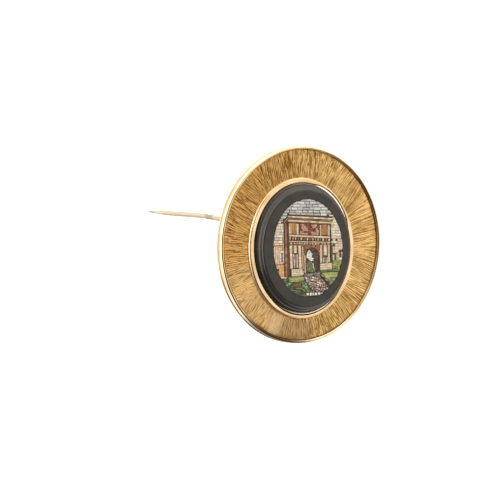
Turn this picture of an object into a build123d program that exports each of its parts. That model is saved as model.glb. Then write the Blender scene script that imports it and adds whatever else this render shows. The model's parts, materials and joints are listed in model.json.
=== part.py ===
from build123d import *

import os
from math import copysign, cos, radians, sin, sqrt, tan

# An oval gold brooch with a micromosaic picture set in a black onyx plaque.
# Lengths are millimetres. The pieces are drawn in the plate's own frame: x to the
# right, y up the long way of the oval, z out of the front, and z = 0 on the
# brushed band. At the end they are turned to the way the open brooch lies down: on
# the lower right of its base wire, on the foot of its catch and on its pin's point.

# Frame
frame_half_width = 14.55
frame_half_height = 16.25
frame_depth = 1.6
frame_turn = -3.0
rim_width = 0.85
rim_rise = 0.425
bead_height = 0.5
wall_setback = 0.12

# Bezel and onyx
bezel_half_width = 8.65
bezel_half_height = 10.75
bezel_wall = 0.55
bezel_rise = 0.5
bezel_round = 0.2
ledge_width = 0.33
ledge_rise = 0.25
ledge_round = 0.16
bezel_right = 0.1
bezel_down = 0.6
bezel_turn = 2.5
seat_depth = 1.1
onyx_clearance = 0.04
onyx_half_width_at_table = 7.85
onyx_half_height_at_table = 9.65
onyx_rise = 1.6

# Mosaic
mosaic_half_width = 6.3
mosaic_half_height = 8.05
mosaic_right = 0.3
mosaic_up = 0.22
mosaic_turn = 3.0
bed_depth = 0.35
tessera_depth = 0.45
bed_clearance = 0.03
grout = 0.12
smallest_tessera = 0.07

# Pin, hinge and catch
hinge_left = 8.2
hinge_up = 3.0
hinge_behind_back = 1.5
eye_radius = 0.75
eye_width = 1.3
eye_side_gap = 0.06
rivet_radius = 0.3
rivet_running_gap = 0.05
rivet_seat_gap = 0.02
rivet_head_radius = 0.5
rivet_head_depth = 0.18
ear_thickness = 0.5
solder_depth = 0.15
stop_bar_radius = 0.25
stop_bar_wall = 0.15
stop_bar_reach = 1.25
stop_gap = 0.03
pin_radius = 0.4
pin_root_length = 8.3
pin_root_lean = 7.9
pin_straight_length = 7.4
pin_straight_lean = 2.0
pin_bend_radius = 8.0
pin_taper_length = 3.1
pin_point_radius = 0.06
pin_open_angle = 127.3
catch_before_point = 1.6
catch_length = 1.2
catch_cheek = 0.5
catch_slot_gap = 0.1

# How the open brooch lies: the place on the base wire, counted up from the
# right-hand side, that touches the surface it lies on.
contact_clock_angle = -17.0

# Two heights closer than this are one height, and a full round is this share of a
# width, just under a half, so that a rounded edge never swallows its face.
same_height = 1e-6
nearly_half = 0.49

# The picture, from the back of the scene to the front. Each outline's points are
# shares of the mosaic's half width and half height.
PICTURE = [
    # name, tessera length, course height, outline
    ("sky", 1.2, 0.78, [(-1.2, 1.2), (1.2, 1.2), (1.2, -0.2), (-1.2, -0.2)]),
    ("house", 0.95, 0.85, [(-1.2, 0.04), (-0.67, 0.04), (-0.66, -0.59), (-1.2, -0.59)]),
    ("house", 0.95, 0.85, [(0.69, 0.16), (1.2, 0.16), (1.2, -0.28), (0.69, -0.28)]),
    ("garden", 1.1, 0.8, [(-1.2, -0.59), (0.35, -0.5), (0.69, -0.28), (1.2, -0.28),
                          (1.2, -1.2), (-1.2, -1.2)]),
    ("path", 0.85, 0.75, [(-0.12, -0.49), (0.31, -0.49), (0.75, -0.87), (0.6, -1.2),
                          (-0.05, -1.2), (0.12, -0.8), (-0.12, -0.67)]),
    ("arch", 0.8, 1.1, [(-0.58, 0.65), (0.71, 0.6), (0.69, -0.47), (0.32, -0.49),
                        (-0.12, -0.57), (-0.51, -0.59)]),
    ("shade", 0.85, 0.9, [(-0.71, 0.51), (-0.58, 0.65), (-0.51, -0.59), (-0.66, -0.59)]),
    ("panel", 1.0, 0.9, [(-0.5, 0.49), (-0.34, 0.48), (-0.33, 0.26), (-0.49, 0.27)]),
    ("panel", 1.0, 0.9, [(-0.25, 0.48), (0.32, 0.46), (0.32, 0.24), (-0.25, 0.26)]),
    ("panel", 1.0, 0.9, [(0.41, 0.45), (0.56, 0.44), (0.56, 0.22), (0.41, 0.23)]),
]
ARCHWAY = {"left": -0.1, "right": 0.32, "spring": -0.1, "foot": -0.5}


# Values worked out from the sizes above

back = -frame_depth
hinge_height = back - hinge_behind_back
bead_radius = bead_height * nearly_half
table_height = bezel_rise + onyx_rise
tray_floor = table_height - bed_depth - tessera_depth
ear_inner = eye_width / 2 + eye_side_gap
ear_outer = ear_inner + ear_thickness

frame_leaning = Rot(0, 0, frame_turn)
plaque = Pos(bezel_right, -bezel_down, 0) * Rot(0, 0, bezel_turn)
mosaic_oval = plaque * Pos(mosaic_right, mosaic_up, 0) * Rot(0, 0, mosaic_turn)
picture_upright = Rot(0, 0, -mosaic_turn)
hinge = Vector(-hinge_left, hinge_up, hinge_height)
across_hinge = Plane(origin=hinge, x_dir=(1, 0, 0), z_dir=(0, -1, 0))


def arc_radii(half_width, half_height):
    """The radii of the side arcs and the end arcs of a four-arc oval."""
    diagonal = sqrt(half_width ** 2 + half_height ** 2)
    difference = half_height - half_width
    side = diagonal * (diagonal + difference) / (2 * half_width)
    end = diagonal * (diagonal - difference) / (2 * half_height)
    return side, end


def oval_face(half_width, half_height):
    """An upright oval of four arcs that run smoothly into each other."""
    side, end = arc_radii(half_width, half_height)
    centre_out = side - half_width
    centre_up = half_height - end
    share = end / (side - end)
    join_x = centre_out * share
    join_y = centre_up * (1 + share)
    arcs = [
        ThreePointArc((join_x, join_y), (0, half_height), (-join_x, join_y)),
        ThreePointArc((-join_x, join_y), (-half_width, 0), (-join_x, -join_y)),
        ThreePointArc((-join_x, -join_y), (0, -half_height), (join_x, -join_y)),
        ThreePointArc((join_x, -join_y), (half_width, 0), (join_x, join_y)),
    ]
    return make_face(arcs)


def oval(half_width, half_height, low, high):
    """An oval slab between two heights."""
    return Pos(0, 0, low) * extrude(oval_face(half_width, half_height), amount=high - low)


def level_edges(solid, height):
    """The edges of a solid that lie all at one height."""
    boxes = [(edge, edge.bounding_box()) for edge in solid.edges()]
    return [edge for edge, box in boxes if abs(box.min.Z - height) < same_height
            and abs(box.max.Z - height) < same_height]


def oval_ring(half_width, half_height, width, low, high):
    """An oval band of one width between two heights."""
    outer = oval(half_width, half_height, low, high)
    inner = oval(half_width - width, half_height - width, low - width, high + width)
    return outer - inner


# Gold mount

def frame_body():
    """The slab with its brushed front, the half-round rim and the bead round its foot."""
    slab = oval(frame_half_width - wall_setback, frame_half_height - wall_setback, back, 0)
    rim = oval_ring(frame_half_width, frame_half_height, rim_width, -rim_rise, rim_rise)
    rim = fillet(level_edges(rim, rim_rise), radius=rim_width * nearly_half)
    rim = fillet(level_edges(rim, -rim_rise), radius=wall_setback)
    bead = oval_ring(frame_half_width, frame_half_height, bead_height, back, back + bead_height)
    bead = fillet(level_edges(bead, back), radius=bead_radius)
    bead = fillet(level_edges(bead, back + bead_height), radius=bead_radius)
    return frame_leaning * (slab + rim + bead)


def bezel():
    """The upright collar round the onyx with a low ledge at its foot."""
    wall = oval(bezel_half_width + bezel_wall, bezel_half_height + bezel_wall, 0, bezel_rise)
    wall = fillet(level_edges(wall, bezel_rise), radius=bezel_round)
    foot_width = bezel_half_width + bezel_wall + ledge_width
    foot_height = bezel_half_height + bezel_wall + ledge_width
    ledge = oval(foot_width, foot_height, 0, ledge_rise)
    ledge = fillet(level_edges(ledge, ledge_rise), radius=ledge_round)
    return plaque * (wall + ledge)


def onyx_seat():
    """What is cut out of the mount for the onyx to sit in."""
    return plaque * oval(bezel_half_width, bezel_half_height, -seat_depth, bezel_rise + onyx_rise)


def stop_bar_place():
    """The middle of the bar that the open pin leans on, in the plane across the hinge."""
    turn = radians(pin_open_angle)
    away = stop_bar_radius + pin_radius + stop_gap
    along_x = stop_bar_reach * cos(turn) - away * sin(turn)
    along_z = -stop_bar_reach * sin(turn) - away * cos(turn)
    return along_x, along_z


def hinge_ears():
    """Two ears soldered to the back, with the bar between them that stops the pin."""
    bar_x, bar_z = stop_bar_place()
    round_eye = Circle(eye_radius)
    round_bar = Pos(bar_x, bar_z) * Circle(stop_bar_radius + stop_bar_wall)
    foot_left = bar_x - stop_bar_radius
    foot_right = eye_radius
    foot_middle = (foot_left + foot_right) / 2
    foot = Pos(foot_middle, hinge_behind_back) * Rectangle(foot_right - foot_left, 2 * solder_depth)
    outline = make_hull((round_eye + round_bar + foot).edges())
    hole = Circle(rivet_radius + rivet_seat_gap)
    both = extrude(across_hinge * (outline - hole), amount=ear_outer, both=True)
    between = extrude(across_hinge * outline, amount=ear_inner, both=True)
    bar = extrude(across_hinge * Pos(bar_x, bar_z) * Circle(stop_bar_radius), amount=ear_inner, both=True)
    return both - between + bar


def catch():
    """An upright fork on the back that the closed pin drops into, on a rounded foot."""
    middle_x, middle_y = catch_middle()
    slot_half = pin_radius + catch_slot_gap
    outer_half = slot_half + catch_cheek
    foot_height = catch_foot_height(outer_half)
    high = back + solder_depth
    foot = Pos(middle_x, foot_height) * Circle(catch_length / 2)
    root = Pos(middle_x, (foot_height + high) / 2) * Rectangle(catch_length, high - foot_height)
    side_view = Plane(origin=(0, middle_y, 0), x_dir=(1, 0, 0), z_dir=(0, -1, 0))
    block = extrude(side_view * (foot + root), amount=outer_half, both=True)
    slot_top = hinge_height + slot_half
    slot_low = foot_height - catch_length
    slot_place = Pos(middle_x, middle_y, (slot_low + slot_top) / 2)
    slot = slot_place * Box(2 * catch_length, 2 * slot_half, slot_top - slot_low)
    return block - slot


def gold_mount():
    """Frame, bezel, hinge ears and catch, soldered into one."""
    return frame_body() + bezel() - onyx_seat() + hinge_ears() + catch()


# Onyx and mosaic bed

def onyx_plaque():
    """The black stone with its sloping edge, flat table and hollow for the mosaic."""
    half_width = bezel_half_width - onyx_clearance
    half_height = bezel_half_height - onyx_clearance
    girdle = oval(half_width, half_height, onyx_clearance - seat_depth, bezel_rise)
    low = Pos(0, 0, bezel_rise) * oval_face(half_width, half_height)
    high = Pos(0, 0, table_height) * oval_face(onyx_half_width_at_table, onyx_half_height_at_table)
    slope = loft([low, high], ruled=True)
    hollow = oval(mosaic_half_width, mosaic_half_height, tray_floor, table_height + bed_depth)
    return plaque * (girdle + slope) - mosaic_oval * hollow


def mosaic_bed():
    """The cement that the tesserae stand on, in the onyx's hollow."""
    half_width = mosaic_half_width - bed_clearance
    half_height = mosaic_half_height - bed_clearance
    return mosaic_oval * oval(half_width, half_height, tray_floor, tray_floor + bed_depth)


# Tesserae

def outline_face(points):
    """A region of the picture, its points given as shares of the mosaic's half sizes."""
    corners = [(x * mosaic_half_width, y * mosaic_half_height) for x, y in points]
    return picture_upright * make_face(Polyline(*corners, close=True))


def archway_face():
    """The opening of the arch: upright sides under a half round."""
    left = ARCHWAY["left"] * mosaic_half_width
    right = ARCHWAY["right"] * mosaic_half_width
    spring = ARCHWAY["spring"] * mosaic_half_height
    foot = ARCHWAY["foot"] * mosaic_half_height
    crown = Pos((left + right) / 2, spring) * Circle((right - left) / 2)
    sides = Pos((left + right) / 2, (spring + foot) / 2) * Rectangle(right - left, spring - foot)
    return picture_upright * (crown + sides)


def layers():
    """Each region's name, tessera size and face, from the back to the front."""
    rows = [(name, length, course, outline_face(points)) for name, length, course, points in PICTURE]
    shade_length, shade_course = next((row[1], row[2]) for row in rows if row[0] == "shade")
    rows.append(("shade", shade_length, shade_course, archway_face()))
    return rows


def cells(length, course):
    """A brickwork of rectangles over the whole oval, each next course set off by a half."""
    rows = int(2 * mosaic_half_height / course) + 2
    columns = int(2 * mosaic_half_width / length) + 2
    laid = []
    for row in range(rows):
        y = (row - rows / 2) * course
        set_off = length / 2 * (row % 2)
        for column in range(columns):
            x = (column - columns / 2) * length + set_off
            laid.append(picture_upright * Pos(x, y) * Rectangle(length - grout, course - grout))
    return laid


def tesserae(length, course, face, in_front):
    """The tesserae of one region, cut to its outline and to what stands in front of it."""
    inner_oval = oval_face(mosaic_half_width - grout, mosaic_half_height - grout)
    field = offset(face, amount=-grout / 2) & inner_oval
    for other in in_front:
        field = field - offset(other, amount=grout / 2, kind=Kind.INTERSECTION)
    cut = []
    for cell in cells(length, course):
        piece = cell & field
        if piece is not None:
            cut += [found for found in piece.faces() if found.area > smallest_tessera]
    floor = mosaic_oval * Pos(0, 0, tray_floor + bed_depth)
    return [floor * extrude(found, amount=tessera_depth) for found in cut]


def mosaic_nodes():
    """The tesserae of each colour family, as one group of loose stones each."""
    groups = {}
    drawn = layers()
    for place, (name, length, course, face) in enumerate(drawn):
        in_front = [row[3] for row in drawn[place + 1:]]
        groups.setdefault(name + "_tesserae", []).extend(tesserae(length, course, face, in_front))
    return groups


# Pin and rivet

def pin_corners():
    """The closed pin's line from the hinge to its point, from the hinge outwards."""
    root = radians(pin_root_lean)
    straight = radians(pin_straight_lean)
    tip_run = pin_straight_length + pin_taper_length
    bend = Vector(pin_root_length * cos(root), pin_root_length * sin(root), 0)
    shoulder = bend + Vector(cos(straight), sin(straight), 0) * pin_straight_length
    point = bend + Vector(cos(straight), sin(straight), 0) * tip_run
    return bend, shoulder, point


def pin_stem():
    """The pin wire with its eye, opened to its stop."""
    bend, shoulder, point = pin_corners()
    path = FilletPolyline((0, 0, 0), bend, shoulder, radius=pin_bend_radius)
    wire = sweep(Plane(origin=(0, 0, 0), z_dir=path % 0) * Circle(pin_radius), path=path)
    taper_place = Plane(origin=shoulder, z_dir=point - shoulder).location
    taper = taper_place * Pos(0, 0, pin_taper_length / 2) * Cone(pin_radius, pin_point_radius, pin_taper_length)
    eye = Rot(90, 0, 0) * Cylinder(eye_radius, eye_width)
    hole = Rot(90, 0, 0) * Cylinder(rivet_radius + rivet_running_gap, 2 * eye_width)
    closed = eye + wire + taper - hole
    return Pos(*hinge) * Rot(0, pin_open_angle, 0) * closed


def hinge_rivet():
    """The rivet through both ears and the pin's eye."""
    shank_half = ear_outer + rivet_seat_gap
    shank = Rot(90, 0, 0) * Cylinder(rivet_radius, 2 * shank_half)
    head = Rot(90, 0, 0) * Cylinder(rivet_head_radius, rivet_head_depth)
    heads = [Pos(0, side * (shank_half + rivet_head_depth / 2), 0) * head for side in (-1, 1)]
    return Pos(*hinge) * (shank + heads[0] + heads[1])


# How the brooch lies down

def point_place():
    """The point of the open pin in the plate's frame."""
    return hinge + pin_corners()[2].rotate(Axis.Y, pin_open_angle)


def resting_surface():
    """The surface under the open brooch: its upward direction, and its height along that.

    It touches the bead at the contact angle and the pin's point, so its upward
    direction is square to the bead there, and one bead radius off the bead's middle.
    """
    clock = radians(contact_clock_angle)
    side = arc_radii(frame_half_width, frame_half_height)[0]
    out = Vector(cos(clock), sin(clock), 0)
    side_middle = Vector(frame_half_width - side, 0, back + bead_radius).rotate(Axis.Z, frame_turn)
    bead = side_middle + out * (side - bead_radius)
    along = Vector(-sin(clock), cos(clock), 0)
    to_point = point_place() - bead
    to_point = to_point - along * to_point.dot(along)
    lift = (bead_radius - pin_point_radius) / to_point.length
    square = to_point.normalized().cross(along)
    if square.Z < 0:
        square = -square
    up = square * sqrt(1 - lift * lift) - to_point.normalized() * lift
    return up, up.dot(bead) - bead_radius


def catch_middle():
    """Where the closed pin crosses the middle of the catch, in the plane of the plate."""
    point = pin_corners()[2]
    side = point.Y - catch_before_point * tan(radians(pin_straight_lean))
    return point.X - catch_before_point - hinge_left, hinge_up + side


def catch_foot_height(half_width):
    """The height of the middle of the catch's rounded foot, which touches that surface too."""
    up, height = resting_surface()
    middle_x, middle_y = catch_middle()
    low_side = middle_y - copysign(half_width, up.Y)
    foot_drop = catch_length / 2 * sqrt(up.X ** 2 + up.Z ** 2)
    return (height + foot_drop - up.X * middle_x - up.Y * low_side) / up.Z


def resting_place():
    """The turn that lays the plate's frame on its surface, with +Z straight up."""
    up, height = resting_surface()
    right = (Vector(1, 0, 0) - up * up.X).normalized()
    turn = Plane(origin=(0, 0, 0), x_dir=right, z_dir=up).location.inverse()
    return Pos(0, 0, -height) * turn


def main():
    shapes = {
        "gold_mount": [gold_mount()],
        "onyx_plaque": [onyx_plaque()],
        "mosaic_bed": [mosaic_bed()],
        "pin_stem": [pin_stem()],
        "hinge_rivet": [hinge_rivet()],
    }
    shapes.update(mosaic_nodes())
    turn = resting_place()
    box = Compound(children=[turn * shapes[name][0] for name in ("gold_mount", "pin_stem")]).bounding_box()
    place = Pos(-box.center().X, -box.center().Y, 0) * turn
    os.makedirs("parts", exist_ok=True)
    for name, group in shapes.items():
        solids = [place * solid for shape in group for solid in shape.solids()]
        whole = Compound(children=solids) if len(solids) > 1 else solids[0]
        export_step(whole, f"parts/{name}.step")
        print(name, len(solids), "solids")
    for label, spot in (("hinge", hinge), ("pin point", point_place()), ("plate middle", Vector(0, 0, 0))):
        found = (place * Pos(*spot)).position
        print(label, [round(value, 4) for value in found])


main()
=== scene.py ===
import json
import random
from collections import namedtuple
from math import atan2, cos, hypot, pi, radians, sin

import bpy
import numpy as np
from mathutils import Matrix, Vector, noise


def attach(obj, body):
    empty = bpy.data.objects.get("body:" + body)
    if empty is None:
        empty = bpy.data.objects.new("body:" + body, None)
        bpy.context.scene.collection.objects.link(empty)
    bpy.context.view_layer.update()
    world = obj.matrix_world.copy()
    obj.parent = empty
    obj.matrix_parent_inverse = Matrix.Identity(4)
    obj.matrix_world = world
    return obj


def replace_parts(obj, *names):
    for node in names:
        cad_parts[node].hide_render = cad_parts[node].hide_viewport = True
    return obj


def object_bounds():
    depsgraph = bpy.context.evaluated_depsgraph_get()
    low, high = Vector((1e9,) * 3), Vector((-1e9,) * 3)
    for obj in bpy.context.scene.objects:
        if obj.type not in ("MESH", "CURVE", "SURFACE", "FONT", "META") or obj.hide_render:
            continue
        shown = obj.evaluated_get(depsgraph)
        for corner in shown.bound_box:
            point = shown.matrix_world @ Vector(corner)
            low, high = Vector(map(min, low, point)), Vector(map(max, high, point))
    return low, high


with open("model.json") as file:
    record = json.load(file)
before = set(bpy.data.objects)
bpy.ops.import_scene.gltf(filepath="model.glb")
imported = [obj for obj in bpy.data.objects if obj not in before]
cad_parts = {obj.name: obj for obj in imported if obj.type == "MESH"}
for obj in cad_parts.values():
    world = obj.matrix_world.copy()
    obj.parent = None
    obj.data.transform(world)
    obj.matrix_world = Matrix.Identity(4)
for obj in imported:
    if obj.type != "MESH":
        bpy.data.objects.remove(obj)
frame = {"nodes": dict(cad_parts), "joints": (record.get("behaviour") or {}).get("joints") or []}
cad_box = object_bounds()

# An oval gold brooch with a micromosaic picture in a black onyx plaque, lying on its
# open pin. Everything is drawn in millimetres in the plate's own frame, x to the
# right, y up the long way of the oval, z out of the front and z = 0 on the brushed
# band, and then laid down with the plate.

MM = 0.001

# Frame, with widths taken in from its edge and heights from the band
frame_half_width = 14.53
frame_half_height = 16.23
frame_depth = 1.6
frame_turn = radians(-3.0)
rim_width = 0.62
rim_rise = 0.36
rim_crest = 0.3
rim_inset = 0.01
rim_foot = -0.3
wall_setback = 0.12
wall_rings = (-0.44, -0.6, -1.0)
bead_radius = 0.25
well_edge = 0.02
well_width = 0.2
well_floor = -0.45

# Brushed band: its sheet, the depths of its relief and the pitch of its finest strokes
band_tuck = 0.06
band_back = -0.3
band_fall = 0.05
band_around = 1800
band_rows = 20
stroke_depth = 0.009
crossing_depth = 0.002
dent_depth = 0.009
brushed_away = 0.011
hatch_pitch = 0.36

# Painted shade on the gold at the rim's foot, on the side and in the crease inside the rim: its darkest
# place and its spread in degrees round the frame, and its shares
foot_shade_at = -103.0
foot_shade_spread = 30.0
crease_shade_spread = 78.0
deepest_crease_shade = 0.95
crease_shade_all_round = 0.3
side_shade = 0.35

# Bezel, with its lip standing off below the onyx and to its upper right
bezel_half_width = 8.65
bezel_half_height = 10.75
bezel_wall = 0.55
bezel_rise = 0.5
bezel_right = 0.1
bezel_down = 0.6
bezel_turn = radians(2.5)
collar_root = -0.06
collar_setback = 0.18
collar_shoulder = 0.05
collar_round = 0.13
ledge_width = 0.33
ledge_rise = 0.25
lip_radius = 0.1
lip_overlap = 0.04
lip_height = 0.64
lip_spread = 0.16
lip_gap_below = 0.24
lip_gap_beside = 0.36
lip_below_at = -85.0
lip_below_spread = 46.0
lip_beside_at = 46.0
lip_beside_spread = 30.0

# Onyx
seat_depth = 1.1
onyx_clearance = 0.04
girdle_top = 0.2
table_half_width = 7.85
table_half_height = 9.65
table_height = 2.1

# Mosaic, with how much its stones vary as they are cut and laid
mosaic_half_width = 6.3
mosaic_half_height = 8.05
mosaic_right = 0.3
mosaic_up = 0.02
mosaic_turn = radians(3.0)
tray_floor = 1.3
cement_top = 2.0
cement_gap = 0.01
cement_round = 0.05
cement_drop = 0.03
oval_joint = 0.03
fine_joint = 0.03
smallest_stone = 0.012
laying_seed = 11
levelling_seed = 5
stone_root = 0.1
stone_sink = 0.035
stone_tilt = 0.03
stone_bevel = 0.03
stone_bevel_in = 0.042
most_drawn_in = 0.35
length_play = 0.25
corner_play = 0.008
light_play = 0.08
tone_play = 5

# How the photograph was taken: the plate's middle in the picture, and the camera's turn
# to the left of the plate's front, above it, and round its own line of sight
photo_width = 500
mm_per_pixel = 0.164
plate_at = (300.6, 244.5)
seen_from_left = radians(25.27)
seen_from_above = radians(0.6)
camera_roll = radians(1.94)
camera_distance = 900.0

# Light and floor
tent_strength = 3.5
tent_opening = (0.04, -0.38, 0.92)
floor_side = 4000.0
floor_glow = 0.7


# Where the plate lies

def plate_placement():
    """From the plate's frame in millimetres to the model's in metres. The hinge's axis runs up
    the plate, and the broadest face of the cement bed looks out of it."""
    nodes = frame["nodes"]
    up = Vector(frame["joints"][0]["axis"]).normalized()
    table = max(nodes["mosaic_bed"].data.polygons, key=lambda face: face.area)
    out = table.normal * (1 if table.normal.z > 0 else -1)
    out = (out - up * out.dot(up)).normalized()
    right = up.cross(out)
    turn = Matrix((right, up, out)).transposed()
    spots = np.array([vertex.co for vertex in nodes["gold_mount"].data.vertices]) @ np.array(turn)
    low, high = spots.min(0), spots.max(0)
    middle = turn @ Vector(((low[0] + high[0]) / 2, (low[1] + high[1]) / 2, high[2] - bezel_rise * MM))
    return Matrix.Translation(middle) @ turn.to_4x4() @ Matrix.Scale(MM, 4)


PLATE = plate_placement()
FRAME = PLATE @ Matrix.Rotation(frame_turn, 4, "Z")
PLAQUE = PLATE @ Matrix.Translation((bezel_right, -bezel_down, 0)) @ Matrix.Rotation(bezel_turn, 4, "Z")
PICTURE = PLAQUE @ Matrix.Translation((mosaic_right, mosaic_up, 0))


# Shader nodes

class Wire:
    """A socket that can be added, multiplied and so on as a number is."""

    def __init__(self, nodes, socket):
        self.nodes = nodes
        self.socket = socket

    def maths(self, operation, *values):
        """One Math node, also for what has no operator, such as a sine."""
        return self.nodes.node("ShaderNodeMath", {"operation": operation}, *values)

    def __add__(self, other):
        return self.maths("ADD", self, other)

    def __radd__(self, other):
        return self.maths("ADD", other, self)

    def __sub__(self, other):
        return self.maths("SUBTRACT", self, other)

    def __rsub__(self, other):
        return self.maths("SUBTRACT", other, self)

    def __mul__(self, other):
        return self.maths("MULTIPLY", self, other)

    def __rmul__(self, other):
        return self.maths("MULTIPLY", other, self)


class Nodes:
    """A tree whose nodes are added one call at a time."""

    def __init__(self, tree):
        self.tree = tree

    def node(self, kind, settings, *values, out=0, **named):
        """One node: its settings first, then what its sockets get, by order or by name."""
        made = self.tree.nodes.new(kind)
        for key, value in settings.items():
            if key == "stops":
                self.set_stops(made.color_ramp, value)
            else:
                setattr(made, key, value)
        for place, value in enumerate(values):
            self.feed(made.inputs[place], value)
        for place, value in named.items():
            self.feed(made.inputs[place.replace("_", " ")], value)
        return Wire(self, made.outputs[out])

    def set_stops(self, ramp, stops):
        """A ramp's colours at places between 0 and 1."""
        while len(ramp.elements) < len(stops):
            ramp.elements.new(1.0)
        for element, (place, colour) in zip(ramp.elements, stops):
            element.position = place
            element.color = colour

    def feed(self, socket, value):
        """Gives a socket a link or a plain value."""
        if isinstance(value, Wire):
            self.tree.links.new(value.socket, socket)
        else:
            socket.default_value = value

    def blend(self, factor, first, second, how="MIX"):
        """Two colours mixed by a factor."""
        made = self.node("ShaderNodeMix", {"data_type": "RGBA", "blend_type": how}, factor, out=2)
        mixer = made.socket.node
        self.feed(mixer.inputs[6], first)
        self.feed(mixer.inputs[7], second)
        return made


class Finish(Nodes):
    """A material, with the patterns that the finishes share."""

    def __init__(self, name):
        self.material = bpy.data.materials.new(name)
        self.material.use_nodes = True
        super().__init__(self.material.node_tree)
        self.shader = self.tree.nodes["Principled BSDF"]

    def surface(self, **named):
        """What the surface itself gets: its colour, roughness and so on."""
        for place, value in named.items():
            self.feed(self.shader.inputs[place.replace("_", " ")], value)

    def mark(self, name, out="Fac"):
        """What is marked on the piece itself, point by point or face by face."""
        return self.node("ShaderNodeAttribute", {"attribute_name": name}, out=out)

    def place(self):
        """Where a point lies, in millimetres."""
        metres = self.node("ShaderNodeTexCoord", {}, out="Object")
        return self.node("ShaderNodeVectorMath", {"operation": "SCALE"}, metres, Scale=1 / MM)

    def point(self, x, y, z):
        """A point from its x, y and z."""
        return self.node("ShaderNodeCombineXYZ", {}, x, y, z)

    def parts(self, point):
        """A point's x, y and z."""
        split = self.node("ShaderNodeSeparateXYZ", {}, point).socket.node
        return [Wire(self, output) for output in split.outputs]

    def noise(self, point, scale, detail=2.0, rough=0.5):
        """Cloudy values between 0 and 1."""
        return self.node("ShaderNodeTexNoise", {}, Vector=point, Scale=scale, Detail=detail,
                         Roughness=rough)

    def ramp(self, factor, *stops):
        """Grey values at places between 0 and 1, as a number."""
        grey = [(place, (value, value, value, 1)) for place, value in stops]
        return self.node("ShaderNodeValToRGB", {"stops": grey}, factor)

    def rise(self, value, low, high):
        """0 up to low, 1 from high on, smooth between them. With high below low it falls."""
        return self.node("ShaderNodeMapRange", {"interpolation_type": "SMOOTHSTEP"}, Value=value,
                         From_Min=low, From_Max=high)

    def bump(self, height, strength, depth):
        """Relief too fine to model, with its depth in millimetres."""
        return self.node("ShaderNodeBump", {}, Strength=strength, Distance=depth * MM, Height=height)


def tone(red, green, blue):
    """A colour given as screen values from 0 to 255, for a shader socket."""
    shares = [value / 255 for value in (red, green, blue)]
    return tuple(s / 12.92 if s < 0.04045 else ((s + 0.055) / 1.055) ** 2.4 for s in shares) + (1,)


# Finishes

def polished_gold():
    """Pale polished gold with fine wear, and painted brown shade where the piece is marked for it."""
    finish = Finish("polished gold")
    place = finish.place()
    cloud = finish.noise(place, 0.35, 3)
    wear = finish.noise(place, 5.0, 4, 0.7)
    shaded = finish.mark("tarnish")
    colour = finish.blend(finish.rise(cloud, 0.35, 0.65), tone(228, 196, 154), tone(242, 218, 184))
    # Painted shade: the gold turns dark brown where it is marked for it
    colour = finish.blend(shaded * (wear * 0.4 + 0.8), colour, tone(86, 60, 32))
    roughness = finish.rise(wear, 0.3, 0.8) * 0.14 + shaded * 0.12 + 0.07
    finish.surface(Base_Color=colour, Metallic=1.0, Roughness=roughness,
                   Normal=finish.bump(wear, 0.12, 0.03))
    return finish.material


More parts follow.
